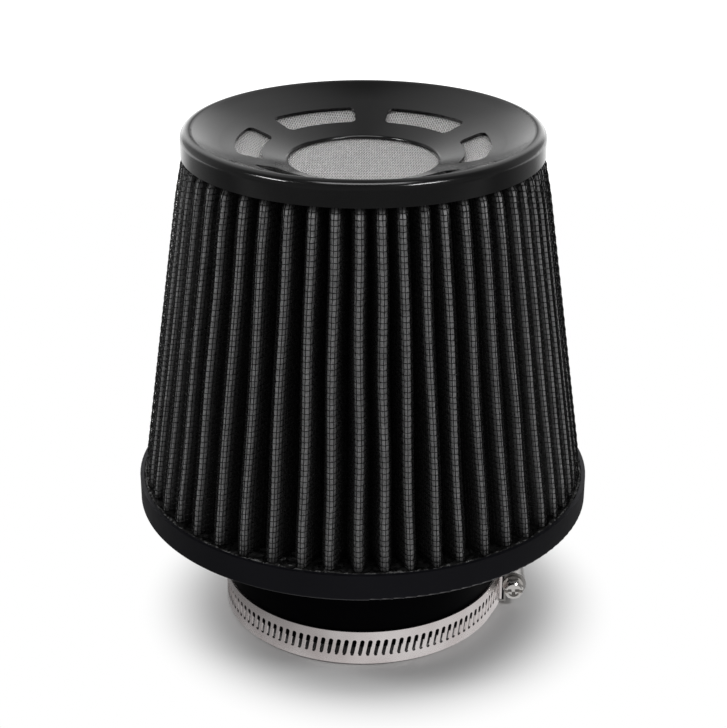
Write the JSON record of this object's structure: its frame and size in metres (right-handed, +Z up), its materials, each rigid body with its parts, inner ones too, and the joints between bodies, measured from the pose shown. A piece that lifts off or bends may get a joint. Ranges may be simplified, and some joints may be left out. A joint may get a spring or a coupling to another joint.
{
  "type": "cone air filter",
  "caption": "Pleated cone air filter with an inverted open top, a rubber base and neck for an intake pipe, and a worm drive clamp around the neck.",
  "frame": {"origin": "middle of the base, on the surface that the lower edge of the clamp stands on", "axes": "+Z up along the axis of the filter, from the neck to the cap; +X towards the clamp's screw"},
  "size_m": [0.15, 0.15, 0.1683],
  "materials": {
    "cap_plastic": "satin gloss moulded plastic",
    "bright_mesh": "fine woven wire",
    "gauze": "woven gauze",
    "sealant": "matt potting compound",
    "coated_wire": "black coated wire",
    "cotton": "layered cotton gauze, black",
    "base_rubber": "satin moulded rubber",
    "clamp_steel": "rolled stainless strip",
    "housing_steel": "pressed stainless sheet",
    "screw_steel": "bright plated steel"
  },
  "bodies": {
    "filter": {"top_cap": "cap_plastic", "top_mesh": "bright_mesh", "top_gauze": "gauze", "top_sealant": "sealant", "outer_wire_screen": "coated_wire", "cotton_media": "cotton", "inner_wire_screen": "coated_wire", "base_sealant": "sealant", "rubber_base": "base_rubber", "clamp_band": "clamp_steel", "clamp_saddle": "clamp_steel", "clamp_housing": "housing_steel"},
    "screw": {"clamp_screw": "screw_steel"}
  },
  "joints": [
    {"name": "clamp_screw_turn", "type": "hinge", "parent": "filter", "child": "screw", "pos_m": [0.0519, 0, 0.0068], "axis": [0, -1, 0], "continuous": true}
  ]
}
